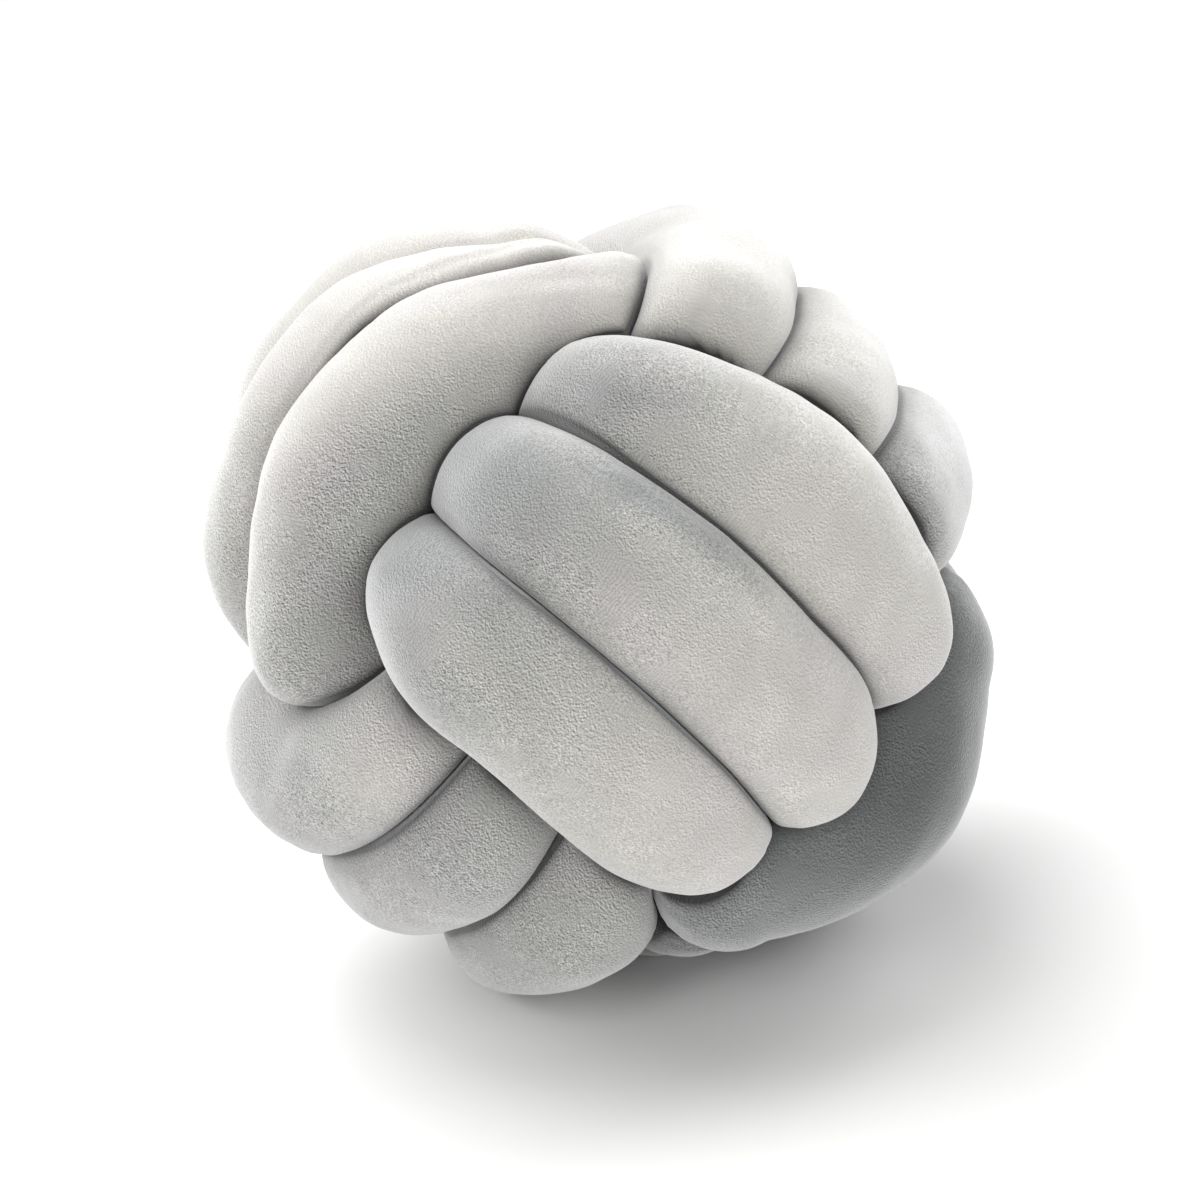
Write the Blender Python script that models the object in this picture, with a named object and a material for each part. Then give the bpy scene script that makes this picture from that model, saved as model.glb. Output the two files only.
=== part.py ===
"""Knot cushion: one long stuffed plush tube, tied as a ball of nine turns.

The turns lie in three belts of three. A belt goes once round the ball. Its turns run side by side
on top of two opposite faces, and on the two faces between they lie packed underneath the next belt.
Turns press into their neighbours and into the packed middle, so the cushion is one closed solid.

The ball is shaped round its own middle, with the belts on its own X, Y and Z axes, and then it is
turned to the way it rests and lifted onto its small flat spot, which lies at Z = 0.
"""
from collections import namedtuple
from math import radians

import bmesh
import bpy
import numpy as np
from mathutils import Euler, Matrix, Vector

MM = 0.001                    # the sizes below are in millimetres, the mesh is in metres

BALL_RADIUS = 140.0           # middle of the ball to the crown of a turn on top
TUBE_RADIUS = 30.0            # the stuffed tube where it lies on top
PACKED_RADIUS = 62.0          # middle of the ball to the tube's centre line underneath
PACKED_GIRTH = 0.72           # share of TUBE_RADIUS that the tube keeps underneath
PACKED_TILT = 26.0            # degrees from one turn to the next underneath
CORE_RADIUS = 106.0           # reach of the packed middle between the turns

TOP_REACH = 30.0              # degrees from a face's middle in which a turn stays on top
PACKED_FROM = 72.0            # degrees from a face's middle where it is fully underneath

REST_TURN = (-54.0, -15.0, -83.0)   # degrees about X, Y and Z, from the belts to the resting ball
FLAT_DROP = 126.0             # middle of the ball down to the flat spot it rests on
OFF_CENTRE = (1.2, 0.7)       # X and Y of the ball's middle, so that its outer box is centred
FLOOR_BLOCK = 200.0           # edge of the block that cuts the flat spot

RINGS = 60                    # sections round a turn
SIDES = 18                    # corners of a section

PLUSH_GREY = (0.60, 0.59, 0.58, 1.0)
PLUSH_ROUGHNESS = 0.9

# Places round a turn, in degrees, at which a strand's three values and the packed value hold:
# first end, crown, last end and packed middle, over one face and then over the opposite one.
STATIONS = (-42.0, 0.0, 42.0, 90.0, 138.0, 180.0, 222.0, 270.0)

# One row for each strand that shows, by face and by its place in the three.
#   tilt   degrees off the belt's middle plane at its first end, crown and last end
#   swell  mm that its crown line stands proud there
#   girth  share of TUBE_RADIUS there
#   early  degrees by which it starts to dive sooner at its first and last end
Strand = namedtuple("Strand", "row tilt swell girth early")

EVEN = (1.0, 1.0, 1.0)
LEVEL = (0.0, 0.0, 0.0)

FRONT = (
    Strand(-1, (-20, -20, -19), LEVEL, (1.00, 1.05, 1.00), (10, 6)),
    Strand(0, (0, 4, 2), LEVEL, (1.00, 1.05, 1.00), (9, 1)),
    Strand(1, (21, 30, 26), LEVEL, (0.94, 1.10, 1.00), (6, 0)),
)
BACK = (
    Strand(-1, (-29, -27, -25), LEVEL, (1.05, 1.06, 0.98), (-3, 2)),
    Strand(0, (-2, -1, 3), (-1, 1, 0), (1.00, 1.05, 1.00), (0, 2)),
    Strand(1, (25, 25, 29), LEVEL, (0.98, 1.06, 1.05), (4, -3)),
)
RIGHT = (
    Strand(-1, (-6, -22, -26), (-14, 0, 0), (1.05, 1.00, 1.00), (-2, 0)),
    Strand(0, (18, 2, -2), (-14, 0, 0), EVEN, (0, 0)),
    Strand(1, (38, 26, 22), (-4, 5, -3), EVEN, (6, 0)),
)
LEFT = (
    Strand(-1, (0, -17, -26), (-13, 7, -8), (1.05, 1.00, 1.00), (0, 0)),
    Strand(0, (21, 13, -1), (-6, 2, -2), (1.00, 1.04, 1.00), (0, 0)),
    Strand(1, (33, 34, 27), (-2, 4, 3), (0.90, 1.03, 1.00), (-8, -6)),
)
UPPER = (
    Strand(-1, (-33, -27, -24), (0, 4, 4), (1.05, 1.03, 1.00), (-4, 0)),
    Strand(0, (-2, -1, 0), (-4, -4, -4), EVEN, (0, 0)),
    Strand(1, (21, 22, 22), (-2, -2, -2), (1.03, 1.03, 1.03), (0, 0)),
)
LOWER = (
    Strand(-1, (-13, -20, -20), (2, 2, 2), (0.88, 1.00, 1.00), (0, 0)),
    Strand(0, (4, 4, 5), (-2, -2, -2), EVEN, (0, 0)),
    Strand(1, (29, 28, 32), LEVEL, (1.00, 1.00, 1.05), (0, -3)),
)

# A belt's turns start over the face on the axis `out`, head towards the axis `along`, and are
# stacked along the axis `stack`. The axes are the ball's own X, Y and Z as 0, 1 and 2.
Belt = namedtuple("Belt", "name out along stack first_face second_face")

BELTS = (
    Belt("front_back", 0, 1, 2, FRONT, BACK),
    Belt("right_left", 1, 2, 0, RIGHT, LEFT),
    Belt("upper_lower", 2, 0, 1, UPPER, LOWER),
)


def clear_scene():
    """Removes whatever the scene starts with."""
    for obj in list(bpy.data.objects):
        bpy.data.objects.remove(obj, do_unlink=True)


def smooth_step(share):
    """Goes from 0 to 1 with level ends."""
    share = np.clip(share, 0.0, 1.0)
    return share * share * (3.0 - 2.0 * share)


def round_the_turn(values, angle):
    """Smooth closed curve through one value at each of STATIONS, read at the angles."""
    places = np.concatenate([np.add(STATIONS, lap) for lap in (-360.0, 0.0, 360.0)])
    heights = np.tile(np.asarray(values, float), 3)
    slopes = np.gradient(heights)
    slopes[1:-1] = (heights[2:] - heights[:-2]) / (places[2:] - places[:-2])
    left = np.searchsorted(places, angle, side="right") - 1
    span = places[left + 1] - places[left]
    share = (angle - places[left]) / span
    rise = smooth_step(share)
    return (heights[left] * (1.0 - rise) + heights[left + 1] * rise
            + span * slopes[left] * share * (1.0 - share) ** 2
            - span * slopes[left + 1] * share ** 2 * (1.0 - share))


def on_top(from_middle, early):
    """1 where a strand lies on top of its face, falling to 0 where it is underneath."""
    first, last = early
    reach = np.where(from_middle < 0.0, first - from_middle, last + from_middle)
    return 1.0 - smooth_step((reach - TOP_REACH) / (PACKED_FROM - TOP_REACH))


def turn_points(belt, row, rings=RINGS, sides=SIDES):
    """Points of one turn, as an array of rings by sides by 3, in mm round the ball's middle."""
    here = next(strand for strand in belt.first_face if strand.row == row)
    there = next(strand for strand in belt.second_face if strand.row == row)
    angle = np.linspace(0.0, 360.0, rings, endpoint=False)

    tilt = radians(1.0) * round_the_turn(
        (*here.tilt, PACKED_TILT * row, *there.tilt, PACKED_TILT * row), angle)
    swell = round_the_turn((*here.swell, 0.0, *there.swell, 0.0), angle)
    girth = round_the_turn((*here.girth, 1.0, *there.girth, 1.0), angle)

    height = (on_top((angle + 180.0) % 360.0 - 180.0, here.early)
              + on_top(angle - 180.0, there.early))
    crown_line = BALL_RADIUS - TUBE_RADIUS
    reach = PACKED_RADIUS + (crown_line - PACKED_RADIUS + swell) * height
    radius = TUBE_RADIUS * girth * (PACKED_GIRTH + (1.0 - PACKED_GIRTH) * height)

    axes = np.eye(3)
    turned = radians(1.0) * angle[:, None]
    level = np.cos(turned) * axes[belt.out] + np.sin(turned) * axes[belt.along]
    outward = np.cos(tilt)[:, None] * level + np.sin(tilt)[:, None] * axes[belt.stack]
    across = -np.sin(tilt)[:, None] * level + np.cos(tilt)[:, None] * axes[belt.stack]

    # A section stands in the plane through the belt's axis. Where the centre line dives, the
    # section is stretched outward, so that the tube itself keeps its girth.
    step = radians(360.0 / rings)
    climb = (np.roll(reach, -1) - np.roll(reach, 1)) / (2.0 * step)
    stretch = np.sqrt(1.0 + (climb / (reach * np.cos(tilt))) ** 2)

    corner = np.linspace(0.0, 2.0 * np.pi, sides, endpoint=False)[None, :, None]
    section = (np.cos(corner) * stretch[:, None, None] * outward[:, None, :]
               + np.sin(corner) * across[:, None, :])
    return (reach[:, None] * outward)[:, None, :] + radius[:, None, None] * section


def link_mesh(name, form, group):
    """Makes an object in the collection from a bmesh and frees the bmesh."""
    mesh = bpy.data.meshes.new(name)
    form.to_mesh(mesh)
    form.free()
    obj = bpy.data.objects.new(name, mesh)
    group.objects.link(obj)
    return obj


def make_turn(belt, row, group):
    """One closed turn of the tube, as a guide for the union."""
    points = turn_points(belt, row) * MM
    form = bmesh.new()
    corners = [[form.verts.new(point) for point in ring] for ring in points]
    for ring, following in zip(corners, corners[1:] + corners[:1]):
        for side in range(SIDES):
            after = (side + 1) % SIDES
            form.faces.new((ring[side], ring[after], following[after], following[side]))
    bmesh.ops.recalc_face_normals(form, faces=form.faces)
    return link_mesh("turn_{}_{}".format(belt.name, row + 2), form, group)


def make_floor_block(turned):
    """Block under the ball, in the ball's own axes, whose top cuts the flat spot."""
    form = bmesh.new()
    bmesh.ops.create_cube(form, size=FLOOR_BLOCK * MM)
    drop = (FLAT_DROP + FLOOR_BLOCK / 2.0) * MM
    bmesh.ops.translate(form, verts=form.verts, vec=Vector((0.0, 0.0, -drop)))
    bmesh.ops.transform(form, verts=form.verts, matrix=turned.inverted())
    return link_mesh("floor_block", form, bpy.context.scene.collection)


def as_guide(obj, turned):
    """Places a guide with the cushion and keeps it out of the model."""
    obj.matrix_world = turned
    obj.hide_render = True
    obj.display_type = "WIRE"


def plush():
    """Short-pile plush."""
    material = bpy.data.materials.new("plush")
    material.use_nodes = True
    shader = material.node_tree.nodes["Principled BSDF"]
    shader.inputs["Base Color"].default_value = PLUSH_GREY
    shader.inputs["Roughness"].default_value = PLUSH_ROUGHNESS
    shader.inputs["Metallic"].default_value = 0.0
    material.diffuse_color = PLUSH_GREY
    return material


def make_cushion():
    """The packed middle with all nine turns joined to it, resting on its flat spot."""
    scene_group = bpy.context.scene.collection
    form = bmesh.new()
    bmesh.ops.create_icosphere(form, subdivisions=3, radius=CORE_RADIUS * MM)
    cushion = link_mesh("knot_cushion", form, scene_group)
    cushion.data.materials.append(plush())

    spin = Euler([radians(degrees) for degrees in REST_TURN], "XYZ").to_matrix().to_4x4()
    placed = Matrix.Translation(Vector((*OFF_CENTRE, FLAT_DROP)) * MM) @ spin
    cushion.matrix_world = placed

    turns = bpy.data.collections.new("turns")
    scene_group.children.link(turns)
    for belt in BELTS:
        for row in (-1, 0, 1):
            as_guide(make_turn(belt, row, turns), placed)
    union = cushion.modifiers.new("turns", "BOOLEAN")
    union.operation = "UNION"
    union.solver = "EXACT"
    union.operand_type = "COLLECTION"
    union.collection = turns

    block = make_floor_block(spin)
    as_guide(block, placed)
    cut = cushion.modifiers.new("flat_spot", "BOOLEAN")
    cut.operation = "DIFFERENCE"
    cut.solver = "EXACT"
    cut.object = block
    return cushion


clear_scene()
make_cushion()
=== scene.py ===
"""Knot cushion: one stuffed plush tube tied as a ball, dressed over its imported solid.

Nine turns of the tube are modelled, three belts of three. Each starts as an even tube on the
solid's route, where 12 of the 18 strands are moved by up to 8 mm to lie nearer to the picture's.
It gets the uneven swell of its stuffing, and is then pressed against the turns that it touches, so
that neighbours meet in flat, deep creases. One short-pile plush finish covers all of it. A plain
pale floor, soft lamps and the camera complete the studio.

Lengths are in millimetres round the middle of the ball until a mesh is written in metres.
"""
import logging
from dataclasses import dataclass
from enum import Enum
from math import atan, cos, log1p, pi, radians, sin
from typing import Optional, Union

import bpy
import numpy as np
from mathutils import Euler, Matrix, Vector


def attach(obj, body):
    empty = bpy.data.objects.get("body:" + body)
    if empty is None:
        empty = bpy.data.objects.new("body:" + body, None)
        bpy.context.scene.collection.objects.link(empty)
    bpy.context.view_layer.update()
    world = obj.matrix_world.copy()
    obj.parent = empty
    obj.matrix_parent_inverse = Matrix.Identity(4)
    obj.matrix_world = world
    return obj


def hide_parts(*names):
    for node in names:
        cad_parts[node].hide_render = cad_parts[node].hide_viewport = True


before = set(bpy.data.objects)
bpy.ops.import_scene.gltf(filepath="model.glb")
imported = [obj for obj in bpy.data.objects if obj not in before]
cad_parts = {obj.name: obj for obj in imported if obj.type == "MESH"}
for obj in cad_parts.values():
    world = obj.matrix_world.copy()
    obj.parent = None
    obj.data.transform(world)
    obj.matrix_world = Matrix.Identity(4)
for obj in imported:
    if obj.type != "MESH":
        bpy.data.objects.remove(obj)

log = logging.getLogger("knot_cushion")

MM = 0.001
NODE = "knot_cushion"
BODY = "root"

# What the plush reads from a mesh: its map along and round the tube, and two layers of its points.
TUBE_MAP = "tube"
# The first layer sets the painted shade in the creases; the second holds how light the pile is
# painted, from brushing and from painted light and shade.
NEAR_LAYER = "near"
NAP_AND_SHADE_LAYER = "nap_and_shade"

LEAST_SQUARE = 1e-6     # square millimetres that keep a square root off zero

Pair = tuple[float, float]
Triple = tuple[float, float, float]
Colour = tuple[float, float, float, float]


# ----------------------------------------------------------------------------------------------
# The route of the tube
# ----------------------------------------------------------------------------------------------

class Face(Enum):
    """The six faces of the ball, named as they lie in the picture."""

    FRONT = "front"
    BACK = "back"
    RIGHT = "right"
    LEFT = "left"
    UPPER = "upper"
    LOWER = "lower"


@dataclass(frozen=True)
class Strand:
    """One strand on top of one face.

    Attributes:
        tilt: Degrees off the belt's middle plane at its first end, crown and last end.
        swell: Millimetres that its crown line stands proud there.
        girth: Share of the tube's radius there.
        early: Degrees by which it starts to dive sooner at its first and last end.
    """

    tilt: Triple
    swell: Triple = (0.0, 0.0, 0.0)
    girth: Triple = (1.0, 1.0, 1.0)
    early: Pair = (0.0, 0.0)


@dataclass(frozen=True)
class Belt:
    """Three turns side by side round the ball.

    Attributes:
        name: Plain name of the belt.
        out: Axis, 0 to 2, on which the turns start.
        along: Axis that they head towards.
        stack: Axis along which the three lie side by side.
        first_face: Face on the positive side of the axis out.
        second_face: Face on its negative side.
    """

    name: str
    out: int
    along: int
    stack: int
    first_face: Face
    second_face: Face


ROWS = (-1, 0, 1)

BELTS = (
    Belt("front_back", 0, 1, 2, Face.FRONT, Face.BACK),
    Belt("right_left", 1, 2, 0, Face.RIGHT, Face.LEFT),
    Belt("upper_lower", 2, 0, 1, Face.UPPER, Face.LOWER),
)

# The three strands of each face, in the order of ROWS.
STRANDS: dict[Face, tuple[Strand, Strand, Strand]] = {
    Face.FRONT: (
        Strand((-20.5, -19.8, -18.5), girth=(1.00, 1.05, 1.05), early=(12.5, 7)),
        Strand((1, 4.2, 2.0), girth=(1.03, 1.06, 1.08), early=(11.5, 2.8)),
        Strand((22, 31, 27.2), girth=(0.94, 1.14, 0.99), early=(9.5, 0.5)),
    ),
    Face.BACK: (
        Strand((-29, -27, -25), girth=(1.05, 1.06, 0.98), early=(-3, 2)),
        Strand((-2, -1, 3), (-1, 1, 0), (1.00, 1.05, 1.00), (0, 2)),
        Strand((25, 25, 29), girth=(0.98, 1.06, 1.05), early=(4, -3)),
    ),
    Face.RIGHT: (
        Strand((-6, -22, -26), (-14, 0, 0), (1.05, 1.00, 1.00), (-2, 0)),
        Strand((18, 2, -2), (-14, -1, -6)),
        Strand((38, 26, 22), (-9, 8.5, -6.5), early=(6, 0)),
    ),
    Face.LEFT: (
        Strand((-1, -17, -26), (-11, 13, -7), (1.05, 1.00, 1.00)),
        Strand((20, 12, 1), (-10, 6, -5), (1.00, 1.04, 1.00)),
        Strand((29, 31, 25), (-3, 4, -1), (0.88, 1.03, 0.90), (-12, -9)),
    ),
    Face.UPPER: (
        Strand((-33, -25, -22), (0, 4, 4), (1.02, 0.98, 0.97), (-4, 0)),
        Strand((-2, -0.5, 1.5), (-4, -4, -4)),
        Strand((21, 23, 23), (-3, -3.5, -3), (1.03, 1.03, 1.03)),
    ),
    Face.LOWER: (
        Strand((-13, -21, -20), (2, 2, 2), (0.88, 1.04, 1.03)),
        Strand((4, 4, 5), (-2, -2, -2)),
        Strand((29, 28, 32), girth=(1.00, 1.00, 1.05), early=(0, -3)),
    ),
}

# How light the pile is painted at a strand's first end, crown and last end: partly from how it
# was brushed and partly painted light and shade, darkest on the right face, lightest on the left.
NAP_AND_SHADE: dict[Face, tuple[Triple, Triple, Triple]] = {
    Face.FRONT: ((0.57, 1.07, 1.25), (0.56, 1.12, 1.21), (0.75, 1.17, 1.18)),
    Face.BACK: ((1.05, 1.00, 1.00), (1.05, 1.00, 1.00), (1.05, 1.00, 1.00)),
    Face.RIGHT: ((0.65, 0.50, 0.50), (0.65, 0.50, 0.50), (0.65, 0.40, 0.39)),
    Face.LEFT: ((1.36, 1.22, 1.03), (1.48, 1.31, 1.00), (1.34, 1.25, 0.98)),
    Face.UPPER: ((1.10, 1.04, 1.25), (1.10, 1.14, 1.14), (0.85, 0.83, 0.79)),
    Face.LOWER: ((0.90, 0.78, 0.78), (0.86, 0.79, 0.78), (0.90, 0.86, 0.82)),
}

# Places round a turn, in degrees, at which a strand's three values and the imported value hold.
STATIONS = (-42.0, 0.0, 42.0, 90.0, 138.0, 180.0, 222.0, 270.0)


def smooth_step(share: np.ndarray) -> np.ndarray:
    """Goes from 0 to 1 with level ends."""
    share = np.clip(share, 0.0, 1.0)
    return share * share * (3.0 - 2.0 * share)


def wrapped(angle: np.ndarray) -> np.ndarray:
    """Brings degrees to between -180 and 180."""
    return (angle + 180.0) % 360.0 - 180.0


def round_the_turn(values: tuple[float, ...], angle: np.ndarray) -> np.ndarray:
    """Smooth closed curve through one value at each of STATIONS.

    Args:
        values: One value for each station.
        angle: Degrees round the turn at which to read the curve.

    Returns:
        The curve at the angles.
    """
    places = np.concatenate([np.add(STATIONS, lap) for lap in (-360.0, 0.0, 360.0)])
    heights = np.tile(np.asarray(values, float), 3)
    slopes = np.zeros_like(heights)
    slopes[1:-1] = (heights[2:] - heights[:-2]) / (places[2:] - places[:-2])
    left = np.searchsorted(places, angle, side="right") - 1
    span = places[left + 1] - places[left]
    share = (angle - places[left]) / span
    rise = smooth_step(share)
    return (heights[left] * (1.0 - rise) + heights[left + 1] * rise
            + span * slopes[left] * share * (1.0 - share) ** 2
            - span * slopes[left + 1] * share ** 2 * (1.0 - share))


@dataclass(frozen=True)
class Route:
    """Sizes that all turns of the tube share, which are the solid's, and its pile.

    Attributes:
        ball_radius: Middle of the ball to the crown of a turn on top.
        tube_radius: The stuffed tube where it lies on top.
        packed_radius: Middle of the ball to the tube's centre line underneath.
        packed_girth: Share of tube_radius that the tube keeps underneath.
        packed_tilt: Degrees from one turn to the next underneath.
        top_reach: Degrees from a face's middle in which a turn stays on top.
        packed_from: Degrees from a face's middle where it is fully underneath.
        pile: Millimetres by which the pile stands off the cloth.
    """

    ball_radius: float = 140.0
    tube_radius: float = 30.0
    packed_radius: float = 62.0
    packed_girth: float = 0.72
    packed_tilt: float = 26.0
    top_reach: float = 30.0
    packed_from: float = 72.0
    pile: float = 1.2

    def on_top(self, from_middle: np.ndarray, early: Pair) -> np.ndarray:
        """Tells how far up a strand lies.

        Args:
            from_middle: Degrees from the middle of the face.
            early: The strand's early values.

        Returns:
            1 where the strand lies on top of its face, 0 where it is underneath.
        """
        first, last = early
        reach = np.where(from_middle < 0.0, first - from_middle, last + from_middle)
        return 1.0 - smooth_step((reach - self.top_reach) / (self.packed_from - self.top_reach))


@dataclass
class Turn:
    """One closed turn of the tube, as arrays of rings by sides.

    Attributes:
        belt: The belt that the turn belongs to.
        row: Its place in the belt, -1, 0 or 1.
        angle: Degrees round the turn, for each ring.
        height: 1 where a ring lies on top, 0 where it is underneath.
        middle: Centre line, rings by 3.
        radius: Tube radius, for each ring.
        points: Surface, rings by sides by 3.
        room: Millimetres left to the nearest other turn, rings by sides.
        nap_and_shade: How light the pile is painted for each ring, from its brushing and from
            painted light and shade.
    """

    belt: Belt
    row: int
    angle: np.ndarray
    height: np.ndarray
    middle: np.ndarray
    radius: np.ndarray
    points: np.ndarray
    room: np.ndarray
    nap_and_shade: np.ndarray

    @property
    def name(self) -> str:
        """Name of the piece."""
        return f"turn_{self.belt.name}_{self.row + 2}"

    @property
    def outward(self) -> np.ndarray:
        """Unit directions from the centre line to each surface point."""
        away = self.points - self.middle[:, None, :]
        return away / np.linalg.norm(away, axis=2)[:, :, None]


@dataclass(frozen=True)
class TurnMaker:
    """Lays one turn along its route.

    Attributes:
        route: Sizes of the route.
        rings: Sections round a turn.
        sides: Corners of a section.
        first_angle: Degrees at which a turn starts, deep under the next belt.
        packed_nap_and_shade: How light the pile is painted underneath, in the same painted light
            and shade.
    """

    route: Route
    rings: int
    sides: int
    first_angle: float = -90.0
    packed_nap_and_shade: float = 0.9

    def make(self, belt: Belt, row: int) -> Turn:
        """Makes an even, unpressed turn.

        Args:
            belt: The belt that the turn belongs to.
            row: Its place in the belt.

        Returns:
            The turn.
        """
        route = self.route
        here = STRANDS[belt.first_face][row + 1]
        there = STRANDS[belt.second_face][row + 1]
        packed = route.packed_tilt * row
        angle = self.first_angle + np.linspace(0.0, 360.0, self.rings, endpoint=False)

        tilt = np.radians(round_the_turn((*here.tilt, packed, *there.tilt, packed), angle))
        swell = round_the_turn((*here.swell, 0.0, *there.swell, 0.0), angle)
        girth = round_the_turn((*here.girth, 1.0, *there.girth, 1.0), angle)
        height = (route.on_top(wrapped(angle), here.early)
                  + route.on_top(wrapped(angle - 180.0), there.early))

        crown_line = route.ball_radius - route.tube_radius
        reach = route.packed_radius + (crown_line - route.packed_radius + swell) * height
        radius = route.pile + route.tube_radius * girth * (
            route.packed_girth + (1.0 - route.packed_girth) * height)

        axes = np.eye(3)
        turned = np.radians(angle)[:, None]
        level = np.cos(turned) * axes[belt.out] + np.sin(turned) * axes[belt.along]
        outward = np.cos(tilt)[:, None] * level + np.sin(tilt)[:, None] * axes[belt.stack]
        across = -np.sin(tilt)[:, None] * level + np.cos(tilt)[:, None] * axes[belt.stack]

        step = radians(360.0 / self.rings)
        climb = (np.roll(reach, -1) - np.roll(reach, 1)) / (2.0 * step)
        stretch = np.sqrt(1.0 + (climb / (reach * np.cos(tilt))) ** 2)

        corner = pi + np.linspace(0.0, 2.0 * pi, self.sides, endpoint=False)[None, :, None]
        section = (np.cos(corner) * stretch[:, None, None] * outward[:, None, :]
                   + np.sin(corner) * across[:, None, :])
        middle = reach[:, None] * outward
        points = middle[:, None, :] + radius[:, None, None] * section
        # How light the pile is painted along the turn: brushing together with painted light and
        # shade.
        nap_and_shade = round_the_turn((*NAP_AND_SHADE[belt.first_face][row + 1], self.packed_nap_and_shade,
                              *NAP_AND_SHADE[belt.second_face][row + 1], self.packed_nap_and_shade), angle)
        room = np.ones(points.shape[:2])
        return Turn(belt, row, angle, height, middle, radius, points, room, nap_and_shade)


# ----------------------------------------------------------------------------------------------
# Stuffing, dents and pressing
# ----------------------------------------------------------------------------------------------

@dataclass(frozen=True)
class Waves:
    """Smooth uneven field made of many plain waves in all directions.

    Attributes:
        count: Number of waves.
        shortest: Shortest wavelength in mm.
        longest: Longest wavelength in mm.
        depth: Typical rise and fall in mm.
    """

    count: int
    shortest: float
    longest: float
    depth: float

    def at(self, points: np.ndarray, draw: np.random.Generator) -> np.ndarray:
        """Reads the field.

        Args:
            points: Places, with their coordinates on the last axis.
            draw: Source of the waves' directions, lengths and starts.

        Returns:
            Rise in mm at each place.
        """
        aim = draw.normal(size=(self.count, 3))
        aim /= np.linalg.norm(aim, axis=1)[:, None]
        length = draw.uniform(self.shortest, self.longest, self.count)
        start = draw.uniform(0.0, 2.0 * pi, self.count)
        total = np.zeros(points.shape[:-1])
        for direction, wavelength, phase in zip(aim, length, start):
            total += np.sin(points @ direction * (2.0 * pi / wavelength) + phase)
        return total * self.depth * (2.0 / self.count) ** 0.5


@dataclass(frozen=True)
class Spot:
    """Soft spot on one strand: a hollow or ridge, or a place made lighter or darker by brushing or
    by painted light and shade.

    Attributes:
        face: Face on which the strand lies.
        row: The strand's place in its three.
        along: Degrees from the middle of the face, towards the strand's last end.
        around: Degrees from the crown, towards the stack axis.
        length: Half length in mm along its own line.
        width: Half width in mm across it.
        turned: Degrees from the strand's run to the spot's line.
        amount: Millimetres inward in DENTS; in the brush and shade marks, the lightness added, from
            brushing and painted light and shade.
    """

    face: Face
    row: int
    along: float
    around: float
    length: float
    width: float
    turned: float
    amount: float

    def over(self, turn: Turn) -> np.ndarray:
        """Reads the spot over a turn.

        Args:
            turn: The turn.

        Returns:
            The spot's amount, rings by sides, which is 0 on a turn without the spot.
        """
        centres = {turn.belt.first_face: 0.0, turn.belt.second_face: 180.0}
        rings, sides = turn.points.shape[:2]
        if self.row != turn.row or self.face not in centres:
            return np.zeros((rings, sides))
        corner = np.linspace(-180.0, 180.0, sides, endpoint=False)
        off = wrapped(turn.angle - centres[self.face] - self.along)
        run = np.radians(off)[:, None] * np.linalg.norm(turn.middle, axis=1)[:, None]
        girth = np.radians(corner - self.around)[None, :] * turn.radius[:, None]
        line, cross = cos(radians(self.turned)), sin(radians(self.turned))
        down_line = (run * line + girth * cross) / self.length
        off_line = (girth * line - run * cross) / self.width
        return self.amount * np.exp(-down_line ** 2 - off_line ** 2)


DENTS = (
    Spot(Face.LOWER, -1, -22.0, -50.0, 15.0, 11.0, 60.0, 2.4),
    Spot(Face.LEFT, 1, 30.0, -60.0, 22.0, 14.0, 0.0, 2.5),
    Spot(Face.UPPER, -1, 14.0, -46.0, 26.0, 8.0, 35.0, 2.6),
    Spot(Face.UPPER, -1, 22.0, -12.0, 22.0, 14.0, 10.0, 1.2),
    Spot(Face.LEFT, 1, -38.0, -20.0, 24.0, 3.5, 4.0, 1.0),
    Spot(Face.LEFT, 1, -40.0, 18.0, 22.0, 4.0, -6.0, 0.8),
    Spot(Face.LEFT, 0, -36.0, 22.0, 30.0, 4.0, 3.0, 0.5),
    Spot(Face.FRONT, 1, -26.0, 10.0, 16.0, 12.0, 60.0, 0.9),
    Spot(Face.FRONT, 0, -24.0, 25.0, 14.0, 9.0, 40.0, 0.8),
    Spot(Face.RIGHT, 1, -14.0, 10.0, 34.0, 24.0, 0.0, 4.0),
)

# Marks that make the pile lighter or darker: some are brushed patches, others painted light and
# shade on a strand, such as a shaded inner flank or a lit crown.
BRUSH_AND_SHADE_MARKS = (
    Spot(Face.FRONT, 1, -28.0, -26.0, 15.0, 9.0, 0.0, -0.15),
    Spot(Face.FRONT, 1, -20.0, -12.0, 14.0, 6.0, 20.0, -0.08),
    Spot(Face.FRONT, 0, -29.0, 46.0, 14.0, 8.0, 0.0, 0.24),
    Spot(Face.FRONT, 0, -1.0, 44.0, 18.0, 8.0, 0.0, -0.34),
    Spot(Face.FRONT, -1, -19.0, 4.0, 13.0, 9.0, 0.0, 0.20),
    Spot(Face.LOWER, -1, -42.0, 5.0, 14.0, 16.0, 0.0, 0.34),
    Spot(Face.LEFT, 0, -30.0, 40.0, 50.0, 12.0, 0.0, 0.42),
    Spot(Face.FRONT, 0, -14.0, 38.0, 13.0, 7.0, 10.0, -0.30),
    Spot(Face.FRONT, -1, -33.0, 9.0, 9.0, 6.0, 40.0, -0.12),
    Spot(Face.LOWER, -1, -29.0, -30.0, 9.0, 7.0, 20.0, -0.18),
    Spot(Face.LEFT, 1, 19.0, 42.0, 34.0, 10.0, 0.0, -0.12),
    Spot(Face.LEFT, 1, -2.0, 66.0, 60.0, 13.0, 0.0, -0.30),
    Spot(Face.LEFT, 1, 13.0, -22.0, 50.0, 12.0, 0.0, 0.12),
    Spot(Face.LEFT, 0, 22.0, 28.0, 30.0, 8.0, 0.0, -0.12),
    Spot(Face.RIGHT, 1, 12.0, 48.0, 40.0, 14.0, 0.0, -0.10),
)


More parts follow.
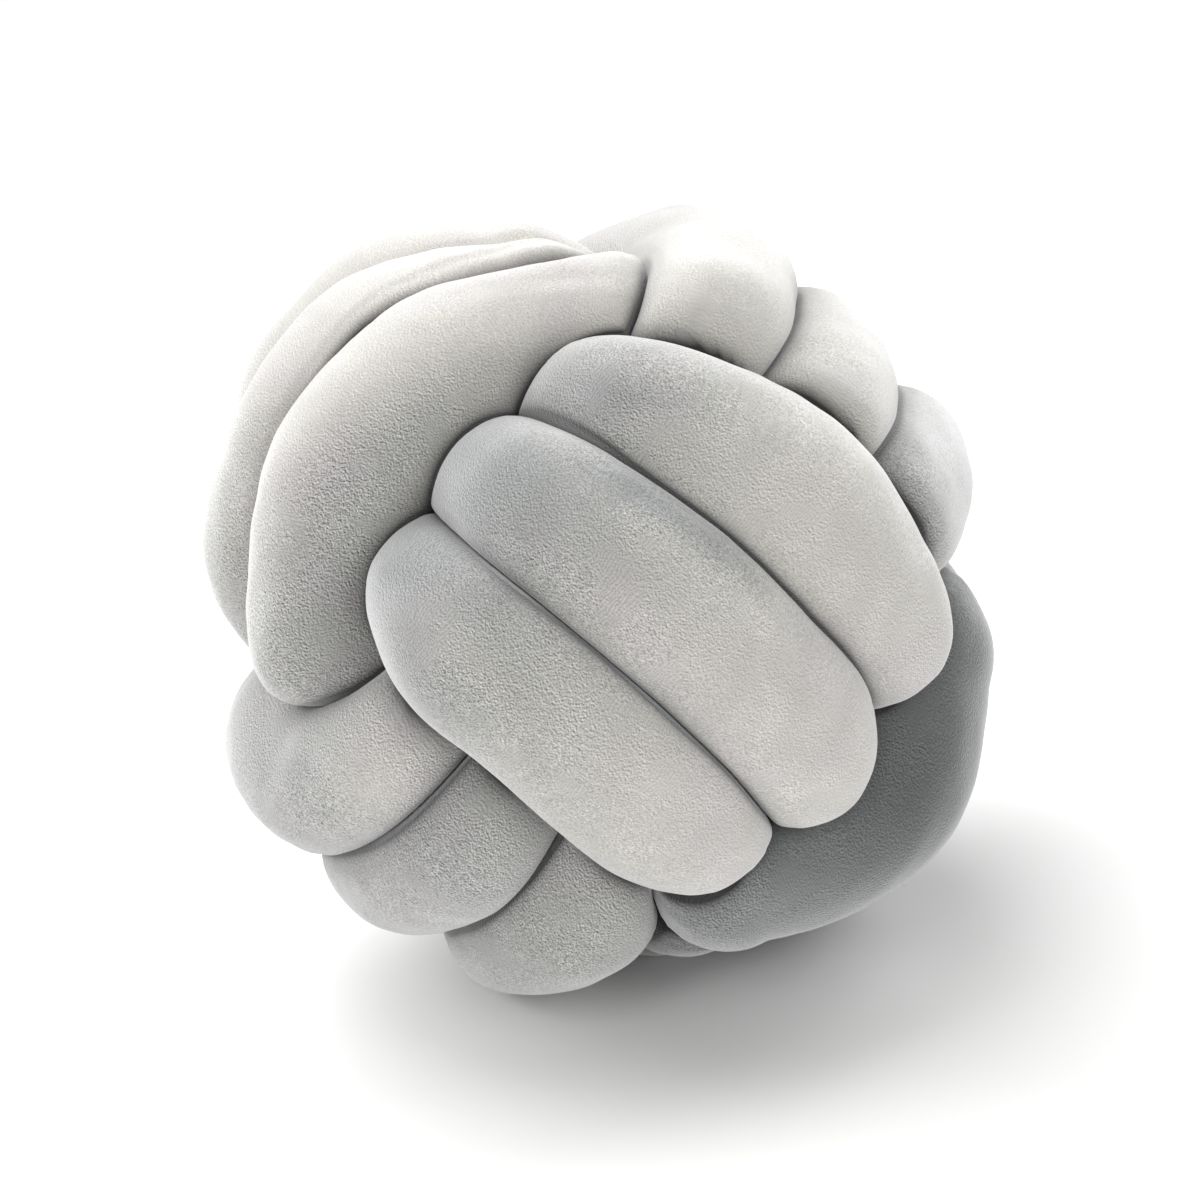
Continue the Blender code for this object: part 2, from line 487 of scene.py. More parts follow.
@dataclass(frozen=True)
class Stuffing:
    """Uneven filling of the tube.

    Attributes:
        lumps: Slow swell of the filling.
        ripples: Smaller unevenness of the cloth.
        gather_depth: Depth in mm of the folds where a strand dives under the next belt.
        gather_counts: Number of folds round the tube there, for each layer of them.
        gather_wander: How far a layer's folds wander sideways, in radians of their own wave.
        gather_bends: Number of times that they wander in a turn.
    """

    lumps: Waves = Waves(26, 38.0, 95.0, 0.75)
    ripples: Waves = Waves(40, 11.0, 26.0, 0.13)
    gather_depth: float = 0.12
    gather_counts: tuple[int, ...] = (9, 13, 18)
    gather_wander: float = 0.9
    gather_bends: float = 2.0

    def fill(self, turn: Turn, draw: np.random.Generator) -> None:
        """Moves a turn's surface in and out, in place.

        Args:
            turn: The turn.
            draw: Source of what is random.
        """
        rise = self.lumps.at(turn.points, draw) + self.ripples.at(turn.points, draw)
        rise -= self.gathers(turn, draw)
        rise -= sum(dent.over(turn) for dent in DENTS)
        turn.points += turn.outward * rise[:, :, None]

    def gathers(self, turn: Turn, draw: np.random.Generator) -> np.ndarray:
        """Works out the folds along the tube where it starts to dive.

        Args:
            turn: The turn.
            draw: Source of what is random.

        Returns:
            Depth in mm, rings by sides.
        """
        corner = np.linspace(0.0, 2.0 * pi, turn.points.shape[1], endpoint=False)
        bend = np.radians(turn.angle * self.gather_bends)
        depth = np.zeros(turn.points.shape[:2])
        for count in self.gather_counts:
            wander = draw.uniform(0.0, 2.0 * pi) + self.gather_wander * np.sin(
                bend + draw.uniform(0.0, 2.0 * pi))
            depth += np.sin(count * corner[None, :] + wander[:, None])
        diving = 4.0 * turn.height * (1.0 - turn.height)     # 1 halfway down, 0 at both ends
        return depth * (self.gather_depth / len(self.gather_counts)) * diving[:, None]


@dataclass(frozen=True)
class Press:
    """Presses the turns against each other, as the tied tube does.

    Attributes:
        softness: Distance in mm over which a flank turns into its crease.
        gap: Clearance in mm left between two turns that touch.
        rounds: Number of times that the surfaces are moved.
        reach: Room, in softnesses, beyond which a surface is left alone.
        least_gain: Least room that a millimetre inward is taken to give.
        deepest: Share of the tube's radius that a point may move in all.
        shade: Room in mm at which the shade of a crease has faded to about a third.
    """

    softness: float = 1.0
    gap: float = 0.25
    rounds: int = 4
    reach: float = 6.0
    least_gain: float = 0.6
    deepest: float = 0.75
    shade: float = 4.0

    @property
    def closest(self) -> float:
        """Room in mm where two turns touch."""
        return self.gap + self.softness * log1p(1.0)

    def distance(self, points: np.ndarray, turn: Turn) -> tuple[np.ndarray, np.ndarray]:
        """Measures points against the even tube of a turn.

        Args:
            points: Points by 3.
            turn: The turn.

        Returns:
            Distance in mm to its surface, negative inside, and the unit directions away from it.
        """
        middle = turn.middle.astype(np.float32)
        radius = turn.radius.astype(np.float32)
        places = points.astype(np.float32)
        squared = ((places ** 2).sum(1)[:, None] + (middle ** 2).sum(1)[None, :]
                   - 2.0 * places @ middle.T)
        far = np.sqrt(np.maximum(squared, LEAST_SQUARE)) - radius[None, :]
        nearest = far.argmin(axis=1)
        away = points - turn.middle[nearest]
        away /= np.linalg.norm(away, axis=1)[:, None]
        return far[np.arange(len(points)), nearest].astype(float), away

    def room(self, points: np.ndarray, turn: Turn,
             others: list[Turn]) -> tuple[np.ndarray, np.ndarray]:
        """Measures how far points lie on their own side of the surface where turns touch.

        Args:
            points: Points by 3.
            turn: The turn that they belong to.
            others: The other turns.

        Returns:
            Distance to the nearest other turn less that to the own one, and the unit directions
            away from that nearest turn.
        """
        own, _ = self.distance(points, turn)
        best = np.full(len(points), np.inf)
        best_away = np.zeros_like(points)
        for other in others:
            far, away = self.distance(points, other)
            closer = far < best
            best[closer] = far[closer]
            best_away[closer] = away[closer]
        return best - own, best_away

    def press(self, turn: Turn, others: list[Turn]) -> tuple[np.ndarray, np.ndarray]:
        """Finds where a turn's surface goes.

        Args:
            turn: The turn.
            others: The turns that it may touch, with their even centre lines.

        Returns:
            The pressed surface, rings by sides by 3, and the room left there, rings by sides.
        """
        shape = turn.points.shape
        points = turn.points.reshape(-1, 3).copy()
        inward = -turn.outward.reshape(-1, 3)
        limit = np.repeat(turn.radius * self.deepest, shape[1])
        moved = np.zeros(len(points))
        free, _ = self.room(points, turn, others)
        wanted = self.gap + self.softness * np.logaddexp(0.0, free / self.softness)
        touching = free < self.reach * self.softness
        for _ in range(self.rounds):
            part = points[touching]
            now, away = self.room(part, turn, others)
            gain = 1.0 + (inward[touching] * away).sum(1)
            step = (wanted[touching] - now) / np.maximum(gain, self.least_gain)
            total = np.clip(moved[touching] + step, 0.0, limit[touching])
            points[touching] = part + inward[touching] * (total - moved[touching])[:, None]
            moved[touching] = total
        return points.reshape(shape), wanted.reshape(shape[:2])


# ----------------------------------------------------------------------------------------------
# The knot
# ----------------------------------------------------------------------------------------------

def add_object(name: str, data: bpy.types.ID) -> bpy.types.Object:
    """Puts a new object into the scene.

    Args:
        name: Its name.
        data: Its mesh, light or camera.

    Returns:
        The object.
    """
    obj = bpy.data.objects.new(name, data)
    bpy.context.scene.collection.objects.link(obj)
    return obj


@dataclass
class Knot:
    """The whole tied tube.

    Attributes:
        route: Sizes of the tube's route.
        stuffing: Its uneven filling.
        squeeze: How its turns press together.
        rest_turn: Degrees about X, Y and Z from the belts to the resting ball.
        flat_drop: Middle of the ball down to its flat spot.
        off_centre: X and Y of the ball's middle.
        rings: Sections round a turn.
        sides: Corners of a section.
        softening: Share of the way that a pressed point moves to the middle of its neighbours.
        map_shift: Metres along the tube between the maps of two turns.
        fill: How tightly the tube is stuffed, from 0 to 1; not used.
        seed: Start of what is random.
    """

    route: Route = Route()
    stuffing: Stuffing = Stuffing()
    squeeze: Press = Press()
    rest_turn: Triple = (-54.0, -15.0, -83.0)
    flat_drop: float = 126.0
    off_centre: Pair = (1.2, 0.7)
    rings: int = 348
    sides: int = 150
    softening: float = 0.5
    map_shift: float = 1.7
    fill: float = 0.85
    seed: int = 71

    def placed(self) -> Matrix:
        """Matrix from the belts' axes to the frame, in metres."""
        spin = Euler([radians(part) for part in self.rest_turn], "XYZ").to_matrix().to_4x4()
        return Matrix.Translation(Vector((*self.off_centre, self.flat_drop)) * MM) @ spin

    def turns(self) -> list[Turn]:
        """Makes all nine turns, stuffed and pressed.

        Returns:
            The turns, belt by belt.
        """
        maker = TurnMaker(self.route, self.rings, self.sides)
        made = [maker.make(belt, row) for belt in BELTS for row in ROWS]
        draw = np.random.default_rng(self.seed)
        for turn in made:
            self.stuffing.fill(turn, draw)
        pressed = [self.squeeze.press(turn, [other for other in made if other is not turn])
                   for turn in made]
        for turn, (points, room) in zip(made, pressed):
            turn.points = self.soften(points)
            turn.room = room
        return made

    def soften(self, points: np.ndarray) -> np.ndarray:
        """Takes the kinks out of a pressed surface.

        Args:
            points: Surface, rings by sides by 3.

        Returns:
            The softened surface.
        """
        beside = (np.roll(points, 1, 0) + np.roll(points, -1, 0)
                  + np.roll(points, 1, 1) + np.roll(points, -1, 1)) / 4.0
        return (1.0 - self.softening) * points + self.softening * beside

    def settled(self, points: np.ndarray) -> np.ndarray:
        """Turns points to the resting ball and flattens them on the floor.

        Args:
            points: Points by 3 in mm, round the middle of the ball.

        Returns:
            Points by 3 in metres, in the frame.
        """
        matrix = np.array(self.placed())
        world = points * MM @ matrix[:3, :3].T + matrix[:3, 3]
        world[:, 2] = np.maximum(world[:, 2], 0.0)
        return world

    def build(self, finish: bpy.types.Material) -> list[bpy.types.Object]:
        """Builds the pieces.

        Args:
            finish: Material of the plush.

        Returns:
            One object for each turn.
        """
        return [self.piece(turn, place, finish) for place, turn in enumerate(self.turns())]

    def mesh(self, turn: Turn) -> bpy.types.Mesh:
        """Makes one turn's mesh.

        Args:
            turn: The turn.

        Returns:
            A closed mesh of four-sided faces, one for each ring and side.
        """
        rings, sides = turn.points.shape[:2]
        first = np.arange(rings * sides).reshape(rings, sides)
        after = np.roll(first, -1, 0)
        faces = np.stack([first, np.roll(first, -1, 1), np.roll(after, -1, 1), after], axis=2)
        mesh = bpy.data.meshes.new(turn.name)
        mesh.from_pydata(self.settled(turn.points.reshape(-1, 3)).tolist(), [],
                         faces.reshape(-1, 4).tolist())
        mesh.polygons.foreach_set("use_smooth", [True] * len(mesh.polygons))
        return mesh

    def chart(self, place: int) -> np.ndarray:
        """Works out a turn's map, in metres along and round the tube.

        Args:
            place: The turn's place among the nine, which shifts its map.

        Returns:
            The two values at each corner of each face, in the order of the mesh.
        """
        every = np.zeros((self.rings, self.sides))
        ring_step = radians(360.0 / self.rings) * (self.route.ball_radius * MM)
        side_step = 2.0 * pi / self.sides * self.route.tube_radius * MM
        run = ring_step * np.arange(self.rings)[:, None] + every
        girth = side_step * np.arange(self.sides)[None, :] + every
        corners = [(run, girth), (run, girth + side_step),
                   (run + ring_step, girth + side_step), (run + ring_step, girth)]
        spread = np.stack([np.stack(pair, axis=2) for pair in corners], axis=2)
        spread[..., 0] += place * self.map_shift
        return spread

    def tones(self, turn: Turn) -> dict[str, np.ndarray]:
        """Works out what the plush reads from a turn's points.

        Args:
            turn: The turn.

        Returns:
            How near each point lies to a crease, for the painted crease shade, and how light its
            pile is painted, from brushing and painted light and shade, by layer.
        """
        # Nearness to a crease, which sets the painted shade there.
        near = np.exp((self.squeeze.closest - turn.room) / self.squeeze.shade)
        # The turn's painted lightness, from brushing and painted light and shade, plus the brush
        # and shade marks.
        nap_and_shade = turn.nap_and_shade[:, None] + sum(mark.over(turn) for mark in BRUSH_AND_SHADE_MARKS)
        return {NEAR_LAYER: near, NAP_AND_SHADE_LAYER: nap_and_shade}

    def piece(self, turn: Turn, place: int, finish: bpy.types.Material) -> bpy.types.Object:
        """Makes one turn's object.

        Args:
            turn: The turn.
            place: Its place among the nine.
            finish: Material of the plush.

        Returns:
            The object.
        """
        mesh = self.mesh(turn)
        chart = mesh.uv_layers.new(name=TUBE_MAP)
        chart.data.foreach_set("uv", self.chart(place).reshape(-1).astype(np.float32))
        for name, values in self.tones(turn).items():
            layer = mesh.attributes.new(name, "FLOAT", "POINT")
            layer.data.foreach_set("value", values.reshape(-1).astype(np.float32))
        mesh.materials.append(finish)
        mesh.validate()

        obj = add_object(turn.name, mesh)
        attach(obj, BODY)
        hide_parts(NODE)
        log.info("%s: %d faces", obj.name, len(mesh.polygons))
        return obj


# ----------------------------------------------------------------------------------------------
# Shader maths
# ----------------------------------------------------------------------------------------------

@dataclass(frozen=True)
class Mottle:
    """Sizes of one uneven field over a surface.

    Attributes:
        size: Size of its cells in metres.
        detail: Number of finer layers.
        roughness: Strength of the finer layers.
        distortion: How much it is swirled.
    """

    size: float
    detail: float = 1.0
    roughness: float = 0.5
    distortion: float = 0.0


class Wire:
    """A shader value that the usual signs of arithmetic work on."""

    def __init__(self, shop: "NodeShop", socket: bpy.types.NodeSocket) -> None:
        """Wraps a socket of the shop's node tree."""
        self.shop = shop
        self.socket = socket

    def _math(self, operation: str, first: "Part", second: "Part" = 0.0) -> "Wire":
        """Adds one Math node."""
        return self.shop.add("ShaderNodeMath", {"operation": operation}, {0: first, 1: second})

    def __add__(self, other: "Part") -> "Wire":
        """Sum."""
        return self._math("ADD", self, other)

    __radd__ = __add__

    def __sub__(self, other: "Part") -> "Wire":
        """Difference."""
        return self._math("SUBTRACT", self, other)

    def __rsub__(self, other: "Part") -> "Wire":
        """Difference, reflected."""
        return self._math("SUBTRACT", other, self)

    def __mul__(self, other: "Part") -> "Wire":
        """Product."""
        return self._math("MULTIPLY", self, other)

    __rmul__ = __mul__

    def __pow__(self, other: "Part") -> "Wire":
        """Power."""
        return self._math("POWER", self, other)

    def __rpow__(self, other: "Part") -> "Wire":
        """Power, reflected."""
        return self._math("POWER", other, self)

    def between(self, low: float, high: float) -> "Wire":
        """Rises smoothly from one value to another.

        Args:
            low: Value up to which it stays 0.
            high: Value from which it is 1.

        Returns:
            The rise.
        """
        return self.shop.add(
            "ShaderNodeMapRange", {"interpolation_type": "SMOOTHSTEP"},
            {"Value": self, "From Min": low, "From Max": high, "To Min": 0.0, "To Max": 1.0})


Part = Union[Wire, float, tuple]


class NodeShop:
    """Makes one material and adds nodes to it."""

    def __init__(self, name: str) -> None:
        """Starts an empty material.

        Args:
            name: Its name.
        """
        self.material = bpy.data.materials.new(name)
        self.material.use_nodes = True
        self.tree = self.material.node_tree
        self.tree.nodes.clear()

    def node(self, kind: str, settings: Optional[dict] = None,
             inputs: Optional[dict] = None) -> bpy.types.Node:
        """Adds a node.

        Args:
            kind: Name of the node type.
            settings: Properties of the node, set first.
            inputs: Values or wires for its sockets, by name or place.

        Returns:
            The node.
        """
        node = self.tree.nodes.new(kind)
        for name, value in (settings or {}).items():
            setattr(node, name, value)
        for name, value in (inputs or {}).items():
            if isinstance(value, Wire):
                self.tree.links.new(value.socket, node.inputs[name])
            else:
                node.inputs[name].default_value = value
        return node

    def add(self, kind: str, settings: Optional[dict] = None,
            inputs: Optional[dict] = None, output: Union[int, str] = 0) -> Wire:
        """Adds a node for the sake of one of its outputs.

        Args:
            kind: Name of the node type.
            settings: Properties of the node, set first.
            inputs: Values or wires for its sockets, by name or place.
            output: Name or place of the output to hand back.

        Returns:
            The output, wrapped.
        """
        return Wire(self, self.node(kind, settings, inputs).outputs[output])

    def layer(self, name: str) -> Wire:
        """Reads a layer of numbers at the mesh's points."""
        return self.add("ShaderNodeAttribute", {"attribute_name": name}, output="Fac")

    def blend(self, share: Part, first: Part, second: Part) -> Wire:
        """Mixes two colours.

        Args:
            share: 0 for the first, 1 for the second.
            first: A colour or a wire of one.
            second: A colour or a wire of one.

        Returns:
            The mixed colour.
        """
        return self.add("ShaderNodeMix", {"data_type": "RGBA"},
                        {0: share, 6: first, 7: second}, output=2)

    def scale(self, vector: Wire, by: Triple) -> Wire:
        """Multiplies a vector by three numbers."""
        return self.add("ShaderNodeVectorMath", {"operation": "MULTIPLY"}, {0: vector, 1: by})

    def shift(self, vector: Wire, by: Part) -> Wire:
        """Adds a vector or three numbers to a vector."""
        return self.add("ShaderNodeVectorMath", {"operation": "ADD"}, {0: vector, 1: by})

    def noise(self, vector: Wire, mottle: Mottle) -> Wire:
        """Reads an uneven field.

        Args:
            vector: Where to read it.
            mottle: Its sizes.

        Returns:
            Values round 0.5.
        """
        return self.add(
            "ShaderNodeTexNoise", {"noise_dimensions": "3D"},
            {"Vector": vector, "Scale": 1.0 / mottle.size, "Detail": mottle.detail,
             "Roughness": mottle.roughness, "Distortion": mottle.distortion})

    def show(self, surface: Wire) -> bpy.types.Material:
        """Feeds a shader to the material's output and hands back the material."""
        self.node("ShaderNodeOutputMaterial", None, {"Surface": surface})
        return self.material


# ----------------------------------------------------------------------------------------------
# Finishes
# ----------------------------------------------------------------------------------------------

@dataclass(frozen=True)
class Ribs:
    """Faint ribs across the tube, in patches where the pile was brushed into rows.

    Attributes:
        spacing: Distance between two ribs along the tube in metres.
        swirl: Field that bends them.
        bend: Most that they are bent, in metres.
        patches: Field that says where they are.
        cover: Its values at which a patch starts, and is full.
        calm: Share of the tufts' painted light and shade that is lost in a full patch.
        strength: How strongly the ribs show there.
    """

    spacing: float = 0.0012
    swirl: Mottle = Mottle(0.006)
    bend: float = 0.004
    patches: Mottle = Mottle(0.016, distortion=0.4)
    cover: Pair = (0.58, 0.68)
    calm: float = 0.6
    strength: float = 0.06

    def over(self, shop: NodeShop, place: Wire, pile_shading: Wire) -> Wire:
        """Lays the ribs over the tufts.

        Args:
            shop: Adds the nodes.
            place: Where to read them.
            pile_shading: Painted light and dark sides of the tufts, round 0.

        Returns:
            Painted light and dark sides of the tufts, with the ribs, round 0.
        """
        tube = shop.add("ShaderNodeUVMap", {"uv_map": TUBE_MAP})
        run = shop.add("ShaderNodeSeparateXYZ", None, {0: tube})
        turns = (run + shop.noise(place, self.swirl) * self.bend) * (2.0 * pi / self.spacing)
        waves = shop.add("ShaderNodeMath", {"operation": "SINE"}, {0: turns})
        ribbed = shop.noise(place, self.patches).between(*self.cover)
        return pile_shading * (1.0 - self.calm * ribbed) + waves * ribbed * self.strength


@dataclass(frozen=True)
class CreaseShade:
    """Painted shade that darkens the pile towards a crease, where near is 1.

    Attributes:
        wide: Part of the shade that fades as near does.
        middling: Part that fades as its square.
        sharp: Part that fades as a high power of it, for the dark line itself.
        power: That power.
        strength: Strength of the shade on pile painted with a lightness of 0.
        nap_and_shade_loss: What the strength loses for a painted lightness of 1.
    """

    wide: float = 0.12
    middling: float = 0.34
    sharp: float = 0.9
    power: float = 6.0
    strength: float = 2.1
    nap_and_shade_loss: float = 1.1

    def over(self, near: Wire, nap_and_shade: Wire) -> Wire:
        """Works out the shade.

        Args:
            near: How near the crease is.
            nap_and_shade: How light the pile is painted, from brushing and from painted light and
                shade.

        Returns:
            Share of the painted crease shade's colour.
        """
        shade = near * near * self.middling + near * self.wide + near ** self.power * self.sharp
        return shade * (self.strength - self.nap_and_shade_loss * nap_and_shade)


@dataclass(frozen=True)
class Plush:
    """Short-pile plush whose pile leans one way, in fine clumps, brushed patches and painted light
    and shade.

    Attributes:
        sunny: Colour where the pile is painted light, from its brushing and from painted light.
        shady: Colour where it is painted dark, from its brushing and from painted shade.
        rosy: Tint of some patches.
        deep: Colour of the painted shade at the bottom of a crease.
        colour_nap_and_shade: Painted lightness at which the colour leaves shady, and at which it is
            sunny.
        tufts: Field of the tufts.
        apart: How far the second reading of the tufts lies from the first, in tufts.
        ribs: Rows in the pile.
        pile_shading: How strongly the painted light and dark sides of the tufts and ribs show.
        calm_nap_and_shade: Painted lightness at which the painted tuft shading starts to fade, and
            at which it has faded.
        calm: Share of the painted tuft shading that is lost there.
        brushing: Field of the brushed patches.
        brushed_pile_shading: Share of the painted tuft shading where that field is 0, and what it
            gains towards 1.
        brushed_tone: Share of the tone where that field is 0, and what it gains towards 1.
        tint: Field of the tinted patches.
        tint_cover: Its values at which a patch starts, and is full.
        tint_nap_and_shade: Painted lightness at which the tint starts to show, and shows in full.
        tint_share: Most that the tint covers.
        crease: How creases are darkened with painted shade.
        lean: How far the pile leans back along the tube.
        relief: Height of a tuft in metres.
        bump: Strength of the relief.
        roughness: Roughness under the pile.
        shine: Strength of the plain reflection.
        sheen: Strength of the pile's sheen.
        sheen_roughness: Spread of the sheen.
        sheen_tint: Colour of the sheen.
    """

    sunny: Colour = (0.396, 0.383, 0.354, 1.0)
    shady: Colour = (0.318, 0.338, 0.338, 1.0)
    rosy: Colour = (0.384, 0.366, 0.366, 1.0)
    deep: Colour = (0.012, 0.012, 0.012, 1.0)
    colour_nap_and_shade: Pair = (0.45, 1.3)
    tufts: Mottle = Mottle(0.00072, 0.6, 0.6, 0.3)
    apart: Triple = (0.36, 0.144, 0.36)
    ribs: Ribs = Ribs()
    pile_shading: float = 2.15
    calm_nap_and_shade: Pair = (0.9, 1.35)
    calm: float = 0.62
    brushing: Mottle = Mottle(0.0272, 3.0, 0.55, 1.3)
    brushed_pile_shading: Pair = (0.4, 1.2)
    brushed_tone: Pair = (0.86, 0.28)
    tint: Mottle = Mottle(0.0544, 2.0, 0.5, 0.8)
    tint_cover: Pair = (0.40, 0.68)
    tint_nap_and_shade: Pair = (0.4, 0.9)
    tint_share: float = 0.7
    crease: CreaseShade = CreaseShade()
    lean: float = 0.12
    relief: float = 0.00045
    bump: float = 0.6
    roughness: float = 0.95
    shine: float = 0.15
    sheen: float = 1.0
    sheen_roughness: float = 0.55
    sheen_tint: Colour = (1.0, 1.0, 1.0, 1.0)

    def make(self) -> bpy.types.Material:
        """Makes the material.

        Returns:
            The plush.
        """
        shop = NodeShop("grey_plush_pile")
        place = shop.add("ShaderNodeTexCoord", output="Object")
        tufts, pile_shading = self.pile(shop, place)
        relief = shop.add("ShaderNodeBump", None, {
            "Strength": self.bump, "Distance": self.relief, "Height": tufts,
            "Normal": self.leaning(shop)})
        skin = shop.add("ShaderNodeBsdfPrincipled", None, {
            "Base Color": self.colour(shop, place, pile_shading), "Roughness": self.roughness,
            "Metallic": 0.0, "Specular IOR Level": self.shine, "Sheen Weight": self.sheen,
            "Sheen Roughness": self.sheen_roughness, "Sheen Tint": self.sheen_tint,
            "Normal": relief})
        return shop.show(skin)

    def leaning(self, shop: NodeShop) -> Wire:
        """Works out the direction in which the pile stands.

        Args:
            shop: Adds the nodes.

        Returns:
            A unit direction that leans back along the tube.
        """
        upright = shop.add("ShaderNodeNewGeometry", output="Normal")
        run = shop.add("ShaderNodeTangent", {"direction_type": "UV_MAP", "uv_map": TUBE_MAP})
        back = shop.scale(run, (-self.lean, -self.lean, -self.lean))
        return shop.add("ShaderNodeVectorMath", {"operation": "NORMALIZE"},
                        {0: shop.shift(upright, back)})

    def pile(self, shop: NodeShop, place: Wire) -> tuple[Wire, Wire]:
        """Makes the tufts of the pile.

        Args:
            shop: Adds the nodes.
            place: Where to read them.

        Returns:
            Height of the pile, and its painted light and dark sides round 0.
        """
        step = tuple(part * self.tufts.size for part in self.apart)
        tufts = shop.noise(place, self.tufts)
        # Painted light and shade: two readings a little apart give each tuft a lit and a shaded
        # side.
        beside = shop.noise(shop.shift(place, step), self.tufts)
        return tufts, self.ribs.over(shop, place, beside - tufts)

    def colour(self, shop: NodeShop, place: Wire, pile_shading: Wire) -> Wire:
        """Works out the colour of the pile, with its painted light and shade and the painted crease
        shade.

        Args:
            shop: Adds the nodes.
            place: Where to read it.
            pile_shading: Painted light and dark sides of the pile.

        Returns:
            The colour.
        """
        # How light the pile is painted here, from brushing and from painted light and shade.
        nap_and_shade = shop.layer(NAP_AND_SHADE_LAYER)
        tinted = shop.noise(place, self.tint).between(*self.tint_cover)
        brushed = shop.noise(place, self.brushing)
        # Painted light and shade: the colour goes from shady to sunny as the pile is painted
        # lighter.
        plain = shop.blend(nap_and_shade.between(*self.colour_nap_and_shade), self.shady, self.sunny)
        rosy = tinted * nap_and_shade.between(*self.tint_nap_and_shade) * self.tint_share
        plain = shop.blend(rosy, plain, self.rosy)

        # Strength of the painted light and dark sides of the tufts, weaker where the pile is
        # painted light.
        least_pile_shading, more_pile_shading = self.brushed_pile_shading
        least_tone, more_tone = self.brushed_tone
        calmed = 1.0 - self.calm * nap_and_shade.between(*self.calm_nap_and_shade)
        crisp = self.pile_shading * calmed * (least_pile_shading + more_pile_shading * brushed)
        tone = nap_and_shade * (1.0 + pile_shading * crisp) * (least_tone + more_tone * brushed)
        colour = shop.add("ShaderNodeVectorMath", {"operation": "SCALE"}, {0: plain, "Scale": tone})
        # Painted shade: the pile turns towards a dark colour near the creases.
        return shop.blend(self.crease.over(shop.layer(NEAR_LAYER), nap_and_shade), colour, self.deep)


@dataclass(frozen=True)
class PalePaint:
    """Plain matt paint of the studio floor.

    Attributes:
        colour: Its colour.
        roughness: Its roughness.
        shine: Strength of its reflection.
    """

    colour: Colour = (0.90, 0.90, 0.895, 1.0)
    roughness: float = 0.9
    shine: float = 0.1

    def make(self) -> bpy.types.Material:
        """Makes the material.

        Returns:
            The paint.
        """
        shop = NodeShop("pale_floor")
        return shop.show(shop.add("ShaderNodeBsdfPrincipled", None, {
            "Base Color": self.colour, "Roughness": self.roughness,
            "Specular IOR Level": self.shine}))


# ----------------------------------------------------------------------------------------------
# Studio
# ----------------------------------------------------------------------------------------------

@dataclass(frozen=True)
class Lamp:
    """One soft lamp.

    Attributes:
        name: Its name.
        place: Where it hangs, in metres.
        size: Edge of its square in metres.
        power: Watts.
    """

    name: str
    place: Triple
    size: float
    power: float


